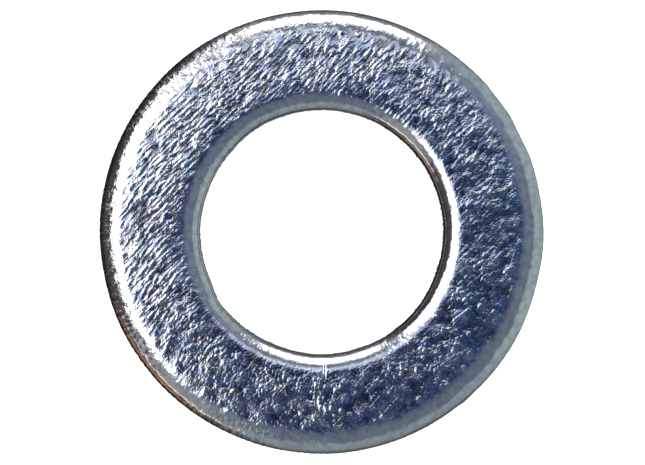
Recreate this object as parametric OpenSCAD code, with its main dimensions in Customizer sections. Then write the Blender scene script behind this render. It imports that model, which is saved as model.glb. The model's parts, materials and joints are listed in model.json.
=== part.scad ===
// Flat washer for an M6 bolt, stamped from steel strip and zinc plated.
//
// A compound die cuts the bore and the rim in one stroke and rolls both edges over on the
// upper face. Below each rolled shoulder the wall is a smooth sheared band, and below that
// a torn band, which leans away from the cut and ends in a small tumbled corner.
// The washer lies on its lower face, with the axis of its bore along +Z. Sizes are in mm.

/* [Washer] */
// Outer diameter
outer_d = 11.8; // [11:0.1:14]
// Bore diameter
bore_d = 6.5; // [6:0.05:7]
// Thickness
thickness = 1.6; // [1.4:0.05:2]

/* [Rolled shoulders on the upper face] */
// Width of the shoulder at the rim
rim_roll_w = 0.65; // [0.3:0.01:0.8]
// Depth of the shoulder at the rim
rim_roll_h = 0.35; // [0.1:0.01:0.5]
// Width of the shoulder at the bore
bore_roll_w = 0.49; // [0.2:0.01:0.6]
// Depth of the shoulder at the bore
bore_roll_h = 0.28; // [0.1:0.01:0.5]

/* [Walls] */
// Height of the torn band above the lower face
torn_h = 0.7; // [0.4:0.05:0.8]
// Distance that the torn band leans away from the sheared band
torn_lean = 0.05; // [0.01:0.01:0.1]
// Radius of the tumbled corner at the lower face
corner_r = 0.06; // [0.02:0.01:0.1]

/* [Hidden] */

$fn = 180;
SHOULDER_STEPS = 12; // straight pieces along a shoulder's quarter ellipse
CORNER_STEPS = 5; // straight pieces along a tumbled corner's quarter circle

rim_r = outer_d / 2;
bore_r = bore_d / 2;

// A rolled shoulder as [radius, height] points, from the upper face down to the wall at
// wall_r. The metal is inside wall_r where side is 1 and outside it where side is -1.
function shoulder(wall_r, side, w, h) = [
    for (i = [0:SHOULDER_STEPS])
        let (turn = 90 * i / SHOULDER_STEPS)
        [wall_r - side * w * (1 - sin(turn)), thickness - h * (1 - cos(turn))]
];

// The torn band and its tumbled corner, from the foot of the sheared band to the lower face
function torn_band(wall_r, side) =
    let (centre_r = wall_r - side * (torn_lean + corner_r))
    concat(
        [[wall_r, torn_h]],
        [
            for (i = [0:CORNER_STEPS])
                let (turn = 90 * i / CORNER_STEPS)
                [centre_r + side * corner_r * cos(turn), corner_r * (1 - sin(turn))]
        ]
    );

// One whole edge, from the upper face to the lower face
function edge(wall_r, side, roll_w, roll_h) =
    concat(shoulder(wall_r, side, roll_w, roll_h), torn_band(wall_r, side));

function reversed(points) = [for (i = [len(points) - 1:-1:0]) points[i]];

// The stamped ring
module washer() {
    rim = edge(rim_r, 1, rim_roll_w, rim_roll_h);
    bore = edge(bore_r, -1, bore_roll_w, bore_roll_h);
    color([0.62, 0.67, 0.75])
        rotate_extrude()
            polygon(concat(rim, reversed(bore)));
}

washer();
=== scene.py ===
"""The looks of a stamped flat washer: rolled and sheared edges, streaked faces and bright zinc plating.

The CAD ring is the frame. One closed mesh stands for it, on the same section, and carries what the
ring doesn't: the grain of the rolled strip, the ragged torn band, dents and a small burr. Its material
adds the finest relief and a few scratches.
"""

import json
import math

import bpy
import numpy as np
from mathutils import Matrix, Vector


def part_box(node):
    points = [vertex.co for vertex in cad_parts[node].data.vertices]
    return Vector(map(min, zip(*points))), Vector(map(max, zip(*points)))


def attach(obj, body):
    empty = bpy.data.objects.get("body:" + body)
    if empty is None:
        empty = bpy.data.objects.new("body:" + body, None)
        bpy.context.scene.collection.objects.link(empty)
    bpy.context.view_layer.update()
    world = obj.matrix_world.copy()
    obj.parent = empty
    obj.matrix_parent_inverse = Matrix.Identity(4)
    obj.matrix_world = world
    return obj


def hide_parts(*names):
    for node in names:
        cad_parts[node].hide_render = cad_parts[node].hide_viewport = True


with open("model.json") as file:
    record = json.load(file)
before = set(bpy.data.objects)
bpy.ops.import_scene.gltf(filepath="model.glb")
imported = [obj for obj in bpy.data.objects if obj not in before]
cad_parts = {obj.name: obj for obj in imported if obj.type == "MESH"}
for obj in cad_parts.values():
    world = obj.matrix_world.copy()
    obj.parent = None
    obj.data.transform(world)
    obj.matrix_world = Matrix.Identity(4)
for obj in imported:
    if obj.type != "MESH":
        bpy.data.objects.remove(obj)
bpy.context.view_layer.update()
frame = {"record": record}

MM = 0.001

# The ring's main sizes come from the frame, in millimetres like all lengths below.
RIM_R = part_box("washer")[1].x / MM
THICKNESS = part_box("washer")[1].z / MM
BORE_R = next(m for m in frame["record"]["mounts"] if m["name"] == "bore")["dims"]["r_mm"]

# The edges, as the CAD part has them
RIM_ROLL = (0.65, 0.35)  # width and depth of the rolled shoulder at the rim
BORE_ROLL = (0.49, 0.28)
TORN_H = 0.7  # the torn band's height above the lower face
TORN_LEAN = 0.05
CORNER_R = 0.06
FACE_IN = BORE_R + BORE_ROLL[0]
FACE_OUT = RIM_R - RIM_ROLL[0]

AROUND = 880  # vertices around the ring
CROWN = 0.008  # how far the upper face falls away towards the rim, and half that towards the bore
GRAIN_ANGLE = math.radians(45)  # of the streaks, from +X
GRAIN_BEND = math.radians(0.4)  # how it changes with x times y
DENTS = [(-2.55, -4.67), (-1.89, -4.94)]  # middles of two small dents by the rim's shoulder
DENT_R = 0.11
DENT_SLOPE = (0.03525, -0.066)  # how the metal is tipped in the middle of a dent, along x and y
DENT_DEPTH = 0.002
FLATS = [(37, 5), (26, 5.5)]  # middle and half width of two flats on the rim, in degrees
BORE_SHAPE = [  # turn in degrees, and how much the bore's radius grows there
    (120, 0),
    (140, -0.03),
    (195, -0.03),
    (206, -0.01),
    (213, 0.05),
    (226, 0.02),
    (250, 0),
]
BURR_H = 0.04
BURR_TURNS = (-51.5, -41)  # from its step to where it has died away, in degrees
RIM_WOBBLE, BORE_WOBBLE = 0.006, 0.005

# How strong each kind of relief is
STREAKS, FINE_STREAKS, PITS, LUMPS = 0.0027, 0.0010, 0.0044, 0.0014  # of the strip's grain
PEEL = 0.0010  # on the shoulders, where the grain ends
NICKS = 0.0030  # on the battered rim
HOLLOWS = 0.003  # in the lower face
TORN_ROUGH = 0.012  # in the torn band

# Where each part of the surface lies in the texture: u and v of a corner or a middle, and its scale
CHARTS = {
    "upper": (0.335, 0.335, 0.0526),
    "lower": (0.83, 0.17, 0.027),
    "rim": (0.01, 0.68, 0.0528),
    "bore": (0.99, 0.83, 0.048),
}
RIM_ROW = 0.075  # from the first half of the rim's wall up to the second


# ---------------------------------------------------------------- section of the ring


def arc(centre, radii, start, end, steps):
    """Points of an elliptic arc after its first one, with angles in degrees."""
    turns = np.radians(np.linspace(start, end, steps + 1)[1:])
    return [(centre[0] + radii[0] * math.cos(t), centre[1] + radii[1] * math.sin(t)) for t in turns]


def line(start, end, steps):
    """Points of a straight stretch after its first one."""
    return [tuple(np.array(start) + (np.array(end) - start) * i / steps) for i in range(1, steps + 1)]


def section():
    """The closed section as (radius, height) points, clockwise from the bore's shoulder, and the zone
    of the strip that follows each point."""
    rim_shoulder = (FACE_OUT, THICKNESS - RIM_ROLL[1])
    bore_shoulder = (FACE_IN, THICKNESS - BORE_ROLL[1])
    rim_foot, bore_foot = RIM_R - TORN_LEAN, BORE_R + TORN_LEAN
    runs = [
        ("upper", arc(bore_shoulder, BORE_ROLL, 180, 90, 15)),
        ("upper", line((FACE_IN, THICKNESS), (FACE_OUT, THICKNESS), 42)),
        ("upper", arc(rim_shoulder, RIM_ROLL, 90, 0, 19)),
        ("rim", line((RIM_R, rim_shoulder[1]), (RIM_R, TORN_H), 3)),
        ("rim", line((RIM_R, TORN_H), (rim_foot, CORNER_R), 8)),
        ("lower", arc((rim_foot - CORNER_R, CORNER_R), (CORNER_R, CORNER_R), 0, -90, 3)),
        ("lower", line((rim_foot - CORNER_R, 0), (bore_foot + CORNER_R, 0), 11)),
        ("lower", arc((bore_foot + CORNER_R, CORNER_R), (CORNER_R, CORNER_R), -90, -180, 2)),
        ("bore", line((bore_foot, CORNER_R), (BORE_R, TORN_H), 6)),
        ("bore", line((BORE_R, TORN_H), (BORE_R, bore_shoulder[1]), 2)),
    ]
    points = np.roll(np.array([p for _, run in runs for p in run]), 1, axis=0)
    zones = np.array([name for name, run in runs for _ in run])
    return points, zones


def outward(points):
    """The section's normals, from its neighbours on the closed line."""
    along = np.roll(points, -1, axis=0) - np.roll(points, 1, axis=0)
    normals = np.stack([-along[:, 1], along[:, 0]], axis=1)
    return normals / np.linalg.norm(normals, axis=1, keepdims=True)


def smooth(value, low, high):
    """0 below low, 1 above high and smooth between them."""
    t = np.clip((value - low) / (high - low), 0, 1)
    return t * t * (3 - 2 * t)


# ---------------------------------------------------------------- random surface detail


def noise_field(rng, wave, size=(16.0, 16.0), band=False, cell=0.02):
    """A function of x and y in millimetres: random, of unit spread and repeating after size. It holds
    waves as long as wave[0] by wave[1] and longer ones, or with band only those near that length."""
    counts = [round(s / cell) for s in size]
    fx = np.fft.fftfreq(counts[0], size[0] / counts[0])[:, None]
    fy = np.fft.fftfreq(counts[1], size[1] / counts[1])[None, :]
    pitch = np.hypot(fx * wave[0], fy * wave[1])
    keep = np.exp(-(np.log(pitch + 1e-9) ** 2) / 0.12) if band else np.exp(-(pitch**2))
    tile = np.fft.ifft2(np.fft.fft2(rng.standard_normal(counts)) * keep).real
    tile = (tile - tile.mean()) / tile.std()

    def value(x, y):
        gx, gy = x * counts[0] / size[0], y * counts[1] / size[1]
        ix, iy = np.floor(gx).astype(int), np.floor(gy).astype(int)
        tx, ty = gx - ix, gy - iy
        left, right = ix % counts[0], (ix + 1) % counts[0]
        low, high = iy % counts[1], (iy + 1) % counts[1]
        near = tile[left, low] * (1 - tx) + tile[right, low] * tx
        far = tile[left, high] * (1 - tx) + tile[right, high] * tx
        return near * (1 - ty) + far * ty

    return value


def grain_height(rng, x, y):
    """Height of the strip's streaked grain at x, y, in millimetres, and how streaked (rather than
    pitted) and how lively it is there."""
    bend = noise_field(rng, (2.5, 2.5))(x, y)
    angle = GRAIN_ANGLE + GRAIN_BEND * x * y
    u = x * np.cos(angle) + y * np.sin(angle)
    v = y * np.cos(angle) - x * np.sin(angle) + 0.05 * bend
    streaks = noise_field(rng, (0.60, 0.13), band=True)(u, v)
    streaks = np.maximum(streaks, -0.45)
    thin = noise_field(rng, (0.24, 0.105), band=True)(u, v)
    pits = np.maximum(noise_field(rng, (0.16, 0.09), band=True)(u, v) - 0.3, 0)
    lumps = noise_field(rng, (0.35, 0.35))(x, y)
    streaked = np.clip(0.5 + 0.25 * noise_field(rng, (1.6, 1.6))(x, y) + 0.06 * (y - x), 0.05, 1.1)
    pitted = 1.1 - streaked
    calm = noise_field(rng, (1.1, 1.1))(x, y)
    lively = 0.76 + 0.32 * noise_field(rng, (0.24, 0.24))(x, y) + 0.14 * calm + 0.040 * (y - x)
    lively = np.clip(lively, 0.30, 1.3)
    fine = STREAKS * streaked * streaks + FINE_STREAKS * thin + PITS * pitted * pits
    return lively * fine + LUMPS * lumps, streaked, lively


def rim_outline(rng, turn):
    """How far the rim stands out from its circle at each turn, in millimetres: a slight wobble and two
    flats from the tumbling."""
    rim_size = (2 * math.pi * RIM_R, 4.0)
    wobble = RIM_WOBBLE * noise_field(rng, (2.0, 2.0), rim_size)(turn * RIM_R, 0 * turn)
    degrees = np.degrees(turn)
    for middle, half in FLATS:
        off = np.radians(np.clip(np.abs(degrees - middle), 0, half))
        wobble += RIM_R * (math.cos(math.radians(half)) / np.cos(off) - 1)
    return wobble


def burr(turn):
    """A sliver of metal along the rim's lower edge, which starts with a step and dies away."""
    start, end = BURR_TURNS
    degrees = np.degrees(turn) - 360
    return BURR_H * smooth(degrees, start, start + 0.5) * (1 - smooth(degrees, start + 1.5, end))


def bore_outline(rng, turn):
    """How much wider the bore is at each turn, in millimetres: a slight wobble and its uneven left."""
    bore_size = (2 * math.pi * BORE_R, 4.0)
    wobble = BORE_WOBBLE * noise_field(rng, (1.5, 1.5), bore_size)(turn * BORE_R, 0 * turn)
    return wobble + np.interp(np.degrees(turn), *zip(*BORE_SHAPE))


def dented(height, x, y, upper):
    """The height with the dents in the upper face, each a smooth tipped facet without much grain."""
    for dent_x, dent_y in DENTS:
        off_x, off_y = x - dent_x, y - dent_y
        share = np.exp(-(off_x**2 + off_y**2) / DENT_R**2) * upper
        tipped = DENT_SLOPE[0] * off_x + DENT_SLOPE[1] * off_y
        height = height * (1 - 0.8 * share) + (tipped - DENT_DEPTH) * share
    return height


def relief(points, turn):
    """How far each point stands out along its normal, in millimetres, and shares for the material: of
    grain, of the face's tint, of streaks, how lively the grain is and how battered the edge is. The
    right and the left of the ring differ, because the photographed one is worn unevenly."""
    rng = np.random.default_rng(11)
    r, z = points[:, :1], points[:, 1:]
    x, y = r * np.cos(turn), r * np.sin(turn)
    wall_x = turn * RIM_R + 0 * z
    wall_size = (2 * math.pi * RIM_R, 3.2)

    upper = z > THICKNESS - RIM_ROLL[1] - 1e-6
    into_roll = np.maximum((FACE_IN - r) / BORE_ROLL[0], (r - FACE_OUT) / RIM_ROLL[0])
    into_roll = np.where(upper, np.clip(into_roll, 0, 1), 1)
    lower = smooth(r, FACE_IN - 0.4, FACE_IN - 0.2) * (1 - smooth(r, FACE_OUT + 0.3, FACE_OUT + 0.5))
    lower = (z < 1e-6) * lower
    # How far down the rolled shoulders the grain goes, at the rim and at the bore
    outer_reach = 0.64 - 0.038 * x + 0.05 * y
    inner_reach = 0.55 + 0.075 * x - 0.06 * y
    reach = np.where(r > (FACE_IN + FACE_OUT) / 2, outer_reach, inner_reach)
    reach = np.clip(reach + 0.11 * noise_field(rng, (0.3, 0.3))(x, y), 0.25, 1.1)
    grain_share = np.where(upper, 1 - smooth(into_roll, np.maximum(reach - 0.55, 0.0), reach), lower)
    tinted = np.where(upper, 1 - smooth(into_roll, 0.02, 0.25 + 0.3 * reach), 0.3 + 0.7 * lower)
    roll_share = smooth(into_roll, 0.1, 0.6) * (z > TORN_H)
    ragged_z = z + 0.06 * noise_field(rng, (0.3, 0.3), wall_size)(wall_x, z)
    torn_share = 1 - smooth(ragged_z, TORN_H - 0.1, TORN_H)
    torn_share = torn_share * smooth(z, -1e-6, CORNER_R) * (1 - lower)

    grain, streaked, lively = grain_height(rng, x, y)
    # The grain is weaker by the bore, and stronger by the rim on the right
    worn = 1 - 0.4 * (1 - smooth(r, FACE_IN, FACE_IN + 0.5))
    worn = worn + 0.4 * smooth(r, FACE_OUT - 0.5, FACE_OUT) * np.clip(x / 4, 0, 1)
    grain, lively = grain * worn, lively * worn
    peel = noise_field(rng, (0.22, 0.22), band=True)(x, y)
    battered = np.clip(0.4 - 0.13 * x + 0.3 * noise_field(rng, (1.5, 1.5))(x, y), 0.1, 1.2) * roll_share
    battered = battered * smooth(r, BORE_R - 2, FACE_OUT)
    nicks = noise_field(rng, (0.16, 0.16), wall_size, band=True)(wall_x, r + z)
    torn = noise_field(rng, (0.12, 0.2), wall_size)(wall_x, z)
    height = grain_share * grain + PEEL * (1 - grain_share) * upper * peel
    height = dented(height + NICKS * battered * nicks, x, y, upper)
    # The lower face has too few rings for the grain, so it has wide shallow hollows
    hollows = np.abs(noise_field(rng, (0.7, 0.7))(x, y))
    height = np.where(lower > 0, -HOLLOWS * hollows * lower, height)
    lively = np.where(upper, lively, 0.8)
    shares = {
        "face": grain_share,
        "tinted": tinted,
        "streaked": streaked * lively,
        "lively": lively,
        "battered": battered,
    }
    return height + TORN_ROUGH * torn_share * torn, shares


def unwrapped(points, zones):
    """Texture coordinates for each corner of each quad: the faces as discs, the walls as strips."""
    lengths = np.linalg.norm(np.roll(points, -1, axis=0) - points, axis=1)
    done = np.cumsum(lengths)
    coords = np.zeros((len(points), AROUND, 4, 2))
    columns = np.arange(AROUND)
    second = columns >= AROUND // 2  # half of the rim's wall goes in a second row
    for corner, (end, later) in enumerate(((0, 0), (1, 0), (1, 1), (0, 1))):
        turn = (columns + later) * 2 * math.pi / AROUND
        for zone in ("upper", "rim", "lower", "bore"):
            strips = np.flatnonzero(zones == zone)
            begun = done[strips[0]] - lengths[strips[0]]
            gone = (done[strips] - begun - (0 if end else lengths[strips]))[:, None]
            left = done[strips[-1]] - begun - gone
            chart_u, chart_v, scale = CHARTS[zone]
            if zone == "upper":
                radius = scale * (BORE_R + gone)
                u, v = chart_u + radius * np.cos(turn), chart_v + radius * np.sin(turn)
            elif zone == "lower":
                radius = scale * (BORE_R + TORN_LEAN + left)
                u, v = chart_u + radius * np.cos(turn), chart_v - radius * np.sin(turn)
            elif zone == "rim":
                u = chart_u + scale * RIM_R * (turn - math.pi * second) + 0 * gone
                v = chart_v + RIM_ROW * second + scale * left
            else:
                u = chart_u - scale * BORE_R * turn + 0 * gone
                v = chart_v + scale * gone + 0 * turn
            coords[strips, :, corner, 0] = u
            coords[strips, :, corner, 1] = v
    return coords


def shaped(points, normals, turn, height):
    """Radius and height of each point with the relief, the outlines, the burr and the crown."""
    r, z = points[:, :1], points[:, 1:]
    rng = np.random.default_rng(5)
    at_rim = smooth(r, FACE_OUT, RIM_R - TORN_LEAN)
    at_bore = 1 - smooth(r, BORE_R + TORN_LEAN, FACE_IN)
    by_foot = 1 - smooth(z, TORN_H, TORN_H + 0.3)
    bore_wider = bore_outline(rng, turn)
    rim_wider = rim_outline(rng, turn) + by_foot * burr(turn)
    shaped_r = r + normals[:, :1] * height + at_rim * rim_wider + at_bore * bore_wider
    across = np.clip((r - (FACE_IN + FACE_OUT) / 2) / ((FACE_OUT - FACE_IN) / 2), -1, 1)
    crown = CROWN * across**4 * np.where(across < 0, 0.5, 1.0) * smooth(z, TORN_H, THICKNESS)
    return shaped_r, z + normals[:, 1:] * height - crown


def ring_mesh():
    """The washer's closed mesh with its surface detail, and what its material needs as attributes."""
    points, zones = section()
    normals = outward(points)
    turn = np.arange(AROUND)[None, :] * 2 * math.pi / AROUND
    height, shares = relief(points, turn)
    r, z = shaped(points, normals, turn, height)
    verts = np.stack([r * np.cos(turn), r * np.sin(turn), z], axis=-1).reshape(-1, 3) * MM

    rings = len(points)
    i, j = np.meshgrid(np.arange(rings), np.arange(AROUND), indexing="ij")
    i2, j2 = (i + 1) % rings, (j + 1) % AROUND
    quads = np.stack([i * AROUND + j, i2 * AROUND + j, i2 * AROUND + j2, i * AROUND + j2], axis=-1)
    mesh = bpy.data.meshes.new("plated_washer")
    mesh.from_pydata(verts.tolist(), [], quads.reshape(-1, 4).tolist())
    mesh.polygons.foreach_set("use_smooth", np.ones(rings * AROUND, bool))
    plain_z = points[:, 1:]
    shares["wall"] = smooth(np.minimum(plain_z, THICKNESS - BORE_ROLL[1] - plain_z + 0.1), 0.0, 0.06)
    shares["height"] = np.where(normals[:, 1:] > 0, height, 0) * 1000  # in micrometres
    for name, weights in shares.items():
        layer = mesh.attributes.new(name, "FLOAT", "POINT")
        layer.data.foreach_set("value", (weights + 0 * turn).astype(np.float32).ravel())
    charts = mesh.uv_layers.new(name="OFBake")
    charts.uv.foreach_set("vector", unwrapped(points, zones).astype(np.float32).ravel())
    mesh.update()
    return mesh


# ---------------------------------------------------------------- nodes


def add(tree, kind, inputs=None, output=0, **settings):
    """A new node's output socket. inputs maps a socket's name or number to a value or to a socket."""
    node = tree.nodes.new(kind)
    for name, value in settings.items():
        setattr(node, name, value)
    for name, value in (inputs or {}).items():
        if isinstance(value, bpy.types.NodeSocket):
            tree.links.new(value, node.inputs[name])
        else:
            node.inputs[name].default_value = value
    return node.outputs[output] if node.outputs else None


def calc(tree, operation, *values):
    return add(tree, "ShaderNodeMath", dict(enumerate(values)), operation=operation)


def total(tree, *terms):
    """The sum of products: each term is a tuple of values or sockets."""
    result = 0.0
    for term in terms:
        product = term[0]
        for factor in term[1:]:
            product = calc(tree, "MULTIPLY", product, factor)
        result = calc(tree, "ADD", result, product)
    return result


def step(tree, value, low, high):
    """0 below low, 1 above high and smooth between them."""
    inputs = {"Value": value, "From Min": low, "From Max": high}
    return add(tree, "ShaderNodeMapRange", inputs, interpolation_type="SMOOTHSTEP")


def ramp(tree, factor, stops):
    """A colour ramp through (position, colour) stops."""
    out = add(tree, "ShaderNodeValToRGB", {0: factor})
    elements = out.node.color_ramp.elements
    for i, (position, colour) in enumerate(stops):
        element = elements[i] if i < 2 else elements.new(position)
        element.position = position
        element.color = (*colour, 1)
    return out


def blend(tree, factor, first, second, kind="MIX"):
    node = tree.nodes.new("ShaderNodeMix")
    node.data_type, node.blend_type = "RGBA", kind
    for name, value in (("Factor_Float", factor), ("A_Color", first), ("B_Color", second)):
        socket = next(s for s in node.inputs if s.identifier == name)
        if isinstance(value, bpy.types.NodeSocket):
            tree.links.new(value, socket)
        else:
            socket.default_value = (*value, 1) if isinstance(value, tuple) else value
    return next(s for s in node.outputs if s.identifier == "Result_Color")


def noise(tree, coords, size, detail=2.0, roughness=0.5, angle=0.0):
    """Smooth noise from 0 to 1. One unit of it is size[i] millimetres along axis i, turned by angle."""
    sizes = size if isinstance(size, tuple) else (size, size, size)
    inputs = {"Vector": coords, "Rotation": (0, 0, angle), "Scale": tuple(s * MM for s in sizes)}
    place = add(tree, "ShaderNodeMapping", inputs, vector_type="TEXTURE")
    inputs = {"Vector": place, "Scale": 1.0, "Detail": detail, "Roughness": roughness}
    return add(tree, "ShaderNodeTexNoise", inputs)


# ---------------------------------------------------------------- zinc plating

SCRATCHES = [  # from, to, half width and depth, on the upper face
    ((0.045, -3.54), (0.045, -3.73), 0.022, 0.005),
    ((0.110, -3.54), (0.112, -3.90), 0.026, 0.005),
    ((5.13, -0.48), (5.01, -0.86), 0.018, 0.001),
    ((3.47, -2.33), (3.97, -1.94), 0.045, 0.0016),
    ((-3.2, 2.35), (-2.3, 3.3), 0.02, 0.0012),
]


def scratch(tree, coords, start, end, half):
    """1 along a scratch on the face and 0 away from it."""
    flat = add(tree, "ShaderNodeVectorMath", {0: coords, 1: (1 / MM, 1 / MM, 0)}, operation="MULTIPLY")
    run = (end[0] - start[0], end[1] - start[1])
    length = math.hypot(*run)
    heading = (run[0] / length, run[1] / length, 0)
    offset = add(tree, "ShaderNodeVectorMath", {0: flat, 1: (*start, 0)}, operation="SUBTRACT")
    along = add(tree, "ShaderNodeVectorMath", {0: offset, 1: heading}, operation="DOT_PRODUCT", output=1)
    along = add(tree, "ShaderNodeClamp", {"Value": along, "Min": 0.0, "Max": length})
    nearest = add(tree, "ShaderNodeVectorMath", {0: heading, "Scale": along}, operation="SCALE")
    gap = add(tree, "ShaderNodeVectorMath", {0: offset, 1: nearest}, operation="DISTANCE", output=1)
    return calc(tree, "SUBTRACT", 1.0, step(tree, gap, 0.0, half))


def zinc_plating():
    material = bpy.data.materials.new("zinc_plating")
    material.use_nodes = True
    tree = material.node_tree
    tree.nodes.clear()
    coords = add(tree, "ShaderNodeTexCoord", output="Object")
    face, tinted, streaked, lively, battered, wall, height = [
        add(tree, "ShaderNodeAttribute", attribute_name=name, output="Fac")
        for name in ("face", "tinted", "streaked", "lively", "battered", "wall", "height")
    ]
    place = add(tree, "ShaderNodeSeparateXYZ", {0: coords}).node.outputs
    x = calc(tree, "DIVIDE", place["X"], MM)
    z = calc(tree, "DIVIDE", place["Z"], MM)

    # The torn band has a ragged upper edge
    ragged = noise(tree, coords, 0.25, detail=3)
    torn_edge = calc(tree, "SUBTRACT", calc(tree, "MULTIPLY_ADD", ragged, 0.3, TORN_H - 0.15), z)
    torn = calc(tree, "MULTIPLY", wall, step(tree, torn_edge, -0.02, 0.02))

    # Colour: blue passivation in patches on the faces, greyer on the rolled edges, with painted light on
    # the faces
    patches = noise(tree, coords, (0.30, 0.20, 0.20), detail=3, roughness=0.6, angle=GRAIN_ANGLE)
    # Painted light: the tint is paler towards -x, the side the softboxes light, and where the grain is
    # lively, and darker and bluer where it is calm, as flat metal mirroring the dark blue ceiling would
    # look
    patches = total(tree, (patches, 0.85), (lively, 0.11), (x, -0.008))
    tint = ramp(tree, patches, [
        (0.38, (0.34, 0.44, 0.72)),
        (0.46, (0.46, 0.57, 0.79)),
        (0.55, (0.65, 0.71, 0.81)),
        (0.64, (0.79, 0.80, 0.82)),
    ])
    hue = noise(tree, coords, 0.6, detail=3)
    tint = blend(tree, step(tree, hue, 0.57, 0.74), tint, (0.53, 0.54, 0.73))
    tint = blend(tree, step(tree, hue, 0.44, 0.30), tint, (0.49, 0.62, 0.72))
    bare = ramp(tree, noise(tree, coords, 0.16, detail=3), [
        (0.38, (0.54, 0.58, 0.64)),
        (0.60, (0.72, 0.74, 0.76)),
    ])
    shade = ramp(tree, noise(tree, coords, 0.42, detail=3, roughness=0.6), [
        (0.40, (0.62, 0.64, 0.68)),
        (0.56, (0.93, 0.93, 0.94)),
    ])
    tint = blend(tree, 1.0, tint, shade, "MULTIPLY")
    colour = blend(tree, tinted, bare, tint)
    # Painted shade: the colour darkens towards blue-black in the grain's valleys, in fine specks and
    # where the grain is calm, as if the grooves were in shade
    speck = noise(tree, coords, (0.09, 0.06, 0.06), detail=2, roughness=0.6, angle=GRAIN_ANGLE)
    above = total(tree, (speck, 4.5), (height, 0.55), (lively, 0.6))
    painted_valley_shade = calc(tree, "MULTIPLY", step(tree, above, 2.9, 1.25), tinted)
    colour = blend(tree, calc(tree, "MULTIPLY", painted_valley_shade, 0.72), colour, (0.11, 0.11, 0.155))
    torn_colour = ramp(tree, ragged, [
        (0.3, (0.30, 0.28, 0.27)),
        (0.7, (0.52, 0.50, 0.48)),
    ])
    colour = blend(tree, torn, colour, torn_colour)

    # Gloss: bright where the strip was rolled, dull where it tore
    gloss = ramp(tree, noise(tree, coords, 0.3, detail=3), [
        (0.35, (0.05, 0.05, 0.05)),
        (0.7, (0.14, 0.14, 0.14)),
    ])
    worn = calc(tree, "MULTIPLY", step(tree, noise(tree, coords, 0.07, detail=2), 0.50, 0.62), battered)
    gloss = blend(tree, worn, gloss, (0.38, 0.38, 0.38))
    rough = blend(tree, torn, gloss, (0.42, 0.42, 0.42))

    # Fine relief, in millimetres
    hair = noise(tree, coords, (0.28, 0.06, 0.06), detail=0, angle=GRAIN_ANGLE)
    grit = noise(tree, coords, 0.05, detail=0)
    lines = noise(tree, coords, (0.05, 0.05, 2.0), detail=2)
    fine = total(
        tree,
        (hair, face, streaked, 0.0050),
        (hair, face, 0.0008),
        (grit, face, 0.0007),
        (grit, face, lively, 0.0018),
        (grit, 0.0005),
        (grit, battered, 0.0024),
        (lines, wall, 0.001),
        (noise(tree, coords, 0.08, detail=4), torn, 0.03),
        *[(scratch(tree, coords, *mark[:3]), -mark[3]) for mark in SCRATCHES],
    )
    bump = add(tree, "ShaderNodeBump", {"Height": fine, "Strength": 1.0, "Distance": MM})
    shader = add(tree, "ShaderNodeBsdfPrincipled", {
        "Base Color": colour, "Metallic": 1.0, "Roughness": rough, "Normal": bump,
    })
    add(tree, "ShaderNodeOutputMaterial", {"Surface": shader})
    return material


# ---------------------------------------------------------------- light, floor and camera

ROOM = [  # what the room shows at each angle from straight up, in degrees
    (0, (0.008, 0.010, 0.023)),
    (2.5, (0.016, 0.021, 0.044)),
    (5, (0.050, 0.066, 0.110)),
    (10, (0.16, 0.195, 0.275)),
    (16, (0.20, 0.24, 0.31)),
    (30, (0.20, 0.24, 0.30)),
    (40, (0.18, 0.21, 0.25)),
    (51, (0.33, 0.39, 0.43)),
    (85, (0.29, 0.33, 0.35)),
    (100, (0.18, 0.19, 0.19)),
    (118, (0.11, 0.105, 0.10)),
    (180, (0.14, 0.14, 0.14)),
]

# Panels in front of that: azimuth is a middle, a half width and the softness of its ends. low and high
# are angles from straight up, each with a softness. high falls by lean for each degree of azimuth.
PANELS = [
    dict(azimuth=(0, 75, 60), low=(2, 4), high=(12, 8), colour=(0.070, 0.110, 0.190)),
    dict(azimuth=(285, 55, 50), low=(9, 6), high=(38, 10), colour=(0.17, 0.20, 0.25)),
    dict(azimuth=(42, 22, 30), low=(16, 8), high=(50, 10), colour=(0.245, 0.29, 0.365)),
    dict(azimuth=(8, 46, 40), low=(46, 10), high=(130, 26), colour=(0.41, 0.48, 0.50)),
    dict(azimuth=(183, 62, 20), low=(40, 16), high=(170, 12), colour=(0.090, 0.078, 0.082)),
    dict(azimuth=(183, 62, 30), low=(78, 34), high=(170, 12), colour=(0.026, 0.022, 0.026)),
    dict(azimuth=(218, 14, 18), low=(79, 8), high=(98, 8), colour=(0.52, 0.26, 0.13)),
    dict(azimuth=(226, 18, 14), low=(59, 6), high=(69, 6), colour=(1.3, 1.12, 0.92)),
    dict(azimuth=(228, 14, 16), low=(24, 12), high=(58, 10), colour=(0.38, 0.38, 0.39)),
    dict(azimuth=(118, 72, 50), low=(4.5, 8), high=(18, 14), colour=(1.30, 1.29, 1.28)),
    dict(azimuth=(178, 48.5, 16), low=(8, 10), high=(39, 8), lean=0.30, colour=(3.0, 2.9, 2.75)),
    dict(azimuth=(90, 26, 14), low=(37, 18), high=(72, 8), colour=(3.0, 2.9, 2.75)),
]


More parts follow.
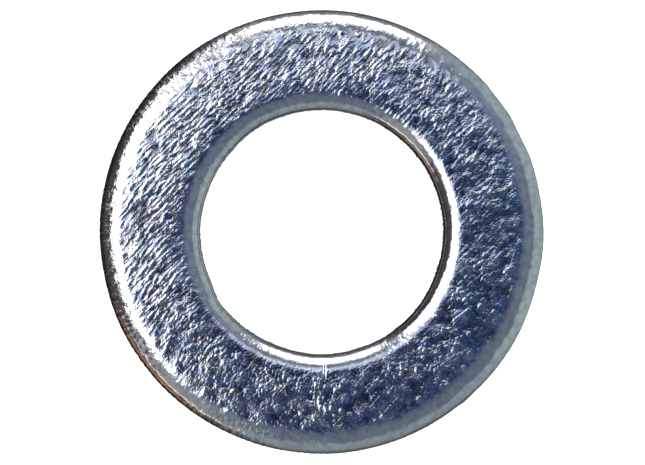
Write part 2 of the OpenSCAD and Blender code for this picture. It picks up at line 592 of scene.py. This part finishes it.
def room_light():
    """A studio as a world: a dim blue ceiling with two softboxes, pale to the right, dark to the left."""
    world = bpy.data.worlds.new("studio")
    bpy.context.scene.world = world
    world.use_nodes = True
    tree = world.node_tree
    tree.nodes.clear()
    direction = add(tree, "ShaderNodeTexCoord", output="Generated")
    x, y, z = [add(tree, "ShaderNodeSeparateXYZ", {0: direction}, output=k) for k in range(3)]
    zenith = calc(tree, "DEGREES", calc(tree, "ARCCOSINE", z))
    bearing = calc(tree, "DEGREES", calc(tree, "ARCTAN2", y, x))

    def panel(azimuth, low, high, lean=0.0):
        """1 where a panel is and 0 away from it."""
        middle, half, soft = azimuth
        off = calc(tree, "WRAP", calc(tree, "SUBTRACT", bearing, float(middle)), 180.0, -180.0)
        ends = step(tree, calc(tree, "ABSOLUTE", off), half + soft / 2, half - soft / 2)
        inner = step(tree, zenith, low[0] - low[1] / 2, low[0] + low[1] / 2)
        leaning = calc(tree, "MULTIPLY_ADD", off, lean, zenith)
        outer = step(tree, leaning, high[0] + high[1] / 2, high[0] - high[1] / 2)
        return calc(tree, "MULTIPLY", ends, calc(tree, "MULTIPLY", inner, outer))

    colour = ramp(tree, calc(tree, "DIVIDE", zenith, 180.0), [(a / 180, c) for a, c in ROOM])
    for place in PANELS:
        place = dict(place)
        panel_colour = place.pop("colour")
        colour = blend(tree, panel(**place), colour, panel_colour)
    seen = add(tree, "ShaderNodeLightPath", output="Is Camera Ray")
    colour = blend(tree, seen, colour, (1.0, 1.0, 1.0))
    background = add(tree, "ShaderNodeBackground", {"Color": colour})
    add(tree, "ShaderNodeOutputWorld", {"Surface": background})


def floor():
    """A pale floor lit by its own lamp, which the metal doesn't mirror."""
    material = bpy.data.materials.new("pale_floor")
    material.use_nodes = True
    paint = material.node_tree.nodes["Principled BSDF"].inputs
    paint["Base Color"].default_value = (0.9, 0.9, 0.9, 1)
    paint["Roughness"].default_value = 0.9
    place = (0, 0, -0.002 * MM)
    bpy.ops.mesh.primitive_circle_add(vertices=96, radius=800 * MM, fill_type="NGON", location=place)
    ground = bpy.context.object
    ground.name = "floor"
    ground.data.materials.append(material)
    ground.visible_glossy = False
    lamp = bpy.data.lights.new("floor_lamp", "AREA")
    lamp.shape, lamp.size, lamp.energy = "DISK", 400 * MM, 3.0
    holder = bpy.data.objects.new("floor_lamp", lamp)
    holder.location = (0, 0, 300 * MM)
    holder.visible_glossy = False
    holder.visible_camera = False
    bpy.context.scene.collection.objects.link(holder)


def camera():
    """Straight above the washer, close enough for a little perspective."""
    distance, width = 130.0, 17.11  # to the upper face, and across the picture there
    middle = (0.033, -0.015)
    data = bpy.data.cameras.new("camera")
    data.sensor_width = 36
    data.lens = data.sensor_width * distance / width
    data.clip_start, data.clip_end = 1 * MM, 2000 * MM
    holder = bpy.data.objects.new("camera", data)
    holder.location = (middle[0] * MM, middle[1] * MM, (THICKNESS + distance) * MM)
    bpy.context.scene.collection.objects.link(holder)
    bpy.context.scene.camera = holder


washer = bpy.data.objects.new("plated_washer", ring_mesh())
bpy.context.scene.collection.objects.link(washer)
washer.data.materials.append(zinc_plating())
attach(washer, "root")
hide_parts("washer")

room_light()
floor()
camera()
bpy.context.scene.view_settings.view_transform = "Standard"
